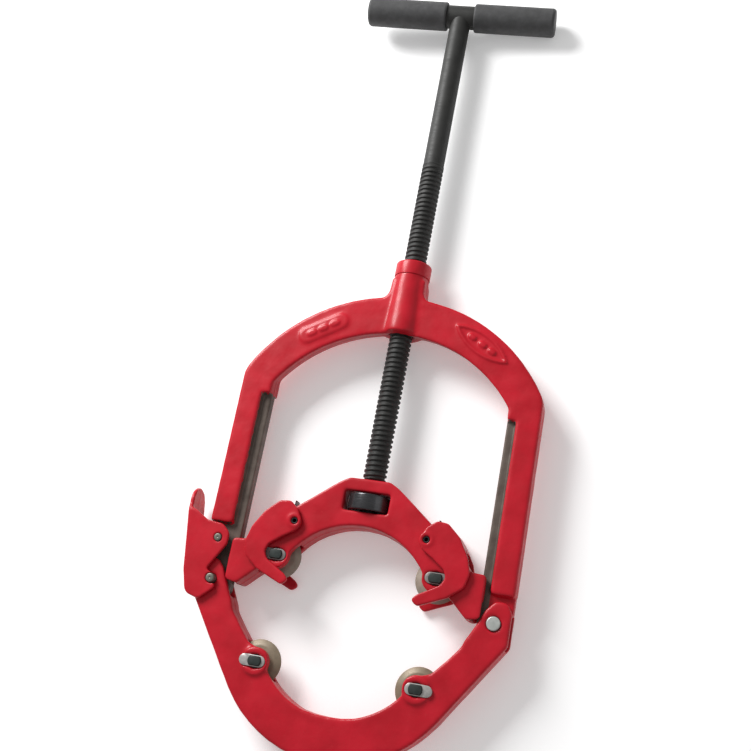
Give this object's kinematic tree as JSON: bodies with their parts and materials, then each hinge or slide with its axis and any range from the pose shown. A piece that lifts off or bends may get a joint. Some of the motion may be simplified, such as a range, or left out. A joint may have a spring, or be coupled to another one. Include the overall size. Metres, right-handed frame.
{
  "type": "hinged four-wheel pipe cutter",
  "caption": "Hinged pipe cutter: screw-fed yoke slides in a red arched frame, wheels close round a pipe, and the latched lower frame swings open.",
  "frame": {"origin": "under the middle of the tool's bounding box as it lies on its back, on the ground plane", "axes": "+Y along the feed screw towards the T-handle, +X across the tool towards the hinge pin, +Z out of the front face"},
  "size_m": [0.261, 0.6388, 0.0348],
  "materials": {
    "red_paint": "gloss red enamel on rough castings, worn to bare steel on the rails",
    "black_steel": "blackened, oiled",
    "bright_steel": "bright, lightly worn",
    "pin_steel": "dull turned steel",
    "wheel_steel": "hardened tool steel with a straw tint",
    "grip_rubber": "matt"
  },
  "bodies": {
    "frame": {"main_frame": "red_paint", "feed_nut": "red_paint", "latch_pivot_pin": "pin_steel", "latch_spring": "bright_steel"},
    "lower": {"lower_frame": "red_paint", "hinge_pin": "bright_steel", "latch_catch_pin": "pin_steel", "wheel_pin_lower_left": "black_steel", "pin_keeper_lower_left": "bright_steel", "wheel_pin_lower_right": "black_steel", "pin_keeper_lower_right": "bright_steel"},
    "latch": {"latch_lever": "red_paint"},
    "slide": {"slide_yoke": "red_paint", "guide_pin_left": "black_steel", "guide_pin_right": "black_steel", "guide_spring_left": "black_steel", "guide_spring_right": "black_steel", "wheel_pin_upper_left": "black_steel", "pin_keeper_upper_left": "bright_steel", "wheel_pin_upper_right": "black_steel", "pin_keeper_upper_right": "bright_steel"},
    "screw": {"feed_screw": "black_steel", "thrust_collar": "black_steel", "collar_pin": "pin_steel", "handle_bar": "black_steel", "grip_left": "grip_rubber", "grip_right": "grip_rubber"},
    "guide_left": {"guide_left": "red_paint"},
    "guide_right": {"guide_right": "red_paint"},
    "wheel_lower_left": {"cutter_wheel_lower_left": "wheel_steel"},
    "wheel_lower_right": {"cutter_wheel_lower_right": "wheel_steel"},
    "wheel_upper_left": {"cutter_wheel_upper_left": "wheel_steel"},
    "wheel_upper_right": {"cutter_wheel_upper_right": "wheel_steel"}
  },
  "joints": [
    {"name": "lower_hinge", "type": "hinge", "parent": "frame", "child": "lower", "pos_m": [0.11805, -0.20385, 0.01739], "axis": [0, 0, 1], "range_deg": [0, 105]},
    {"name": "latch_pivot", "type": "hinge", "parent": "frame", "child": "latch", "pos_m": [-0.09945, -0.17285, 0.01739], "axis": [0, 0, 1], "range_deg": [-20, 0], "stiffness_Nm_per_rad": 0.3, "springref_deg": 17.19},
    {"name": "yoke_slide", "type": "slide", "parent": "frame", "child": "slide", "axis": [0, 1, 0], "range_m": [0, 0.1161]},
    {"name": "screw_spin", "type": "hinge", "parent": "slide", "child": "screw", "pos_m": [0.01005, -0.13005, 0.01739], "axis": [0, 1, 0], "range_deg": [0, 10440]},
    {"name": "guide_left_swing", "type": "hinge", "parent": "slide", "child": "guide_left", "pos_m": [-0.04115, -0.15225, 0.01739], "axis": [0, 0, 1], "range_deg": [-8, 0], "stiffness_Nm_per_rad": 0.4, "springref_deg": 17.19},
    {"name": "guide_right_swing", "type": "hinge", "parent": "slide", "child": "guide_right", "pos_m": [0.06125, -0.15225, 0.01739], "axis": [0, 0, 1], "range_deg": [0, 8], "stiffness_Nm_per_rad": 0.4, "springref_deg": -17.19},
    {"name": "wheel_lower_left_spin", "type": "hinge", "parent": "lower", "child": "wheel_lower_left", "pos_m": [-0.05075, -0.25805, 0.01739], "axis": [0, 0, 1], "continuous": true},
    {"name": "wheel_lower_right_spin", "type": "hinge", "parent": "lower", "child": "wheel_lower_right", "pos_m": [0.07085, -0.25805, 0.01739], "axis": [0, 0, 1], "continuous": true},
    {"name": "wheel_upper_left_spin", "type": "hinge", "parent": "slide", "child": "wheel_upper_left", "pos_m": [-0.05175, -0.17865, 0.01739], "axis": [0, 0, 1], "continuous": true},
    {"name": "wheel_upper_right_spin", "type": "hinge", "parent": "slide", "child": "wheel_upper_right", "pos_m": [0.07185, -0.17865, 0.01739], "axis": [0, 0, 1], "continuous": true}
  ],
  "couplings": [
    {"joint": "yoke_slide", "follows": "screw_spin", "m_per_rad": 0.00063662}
  ]
}
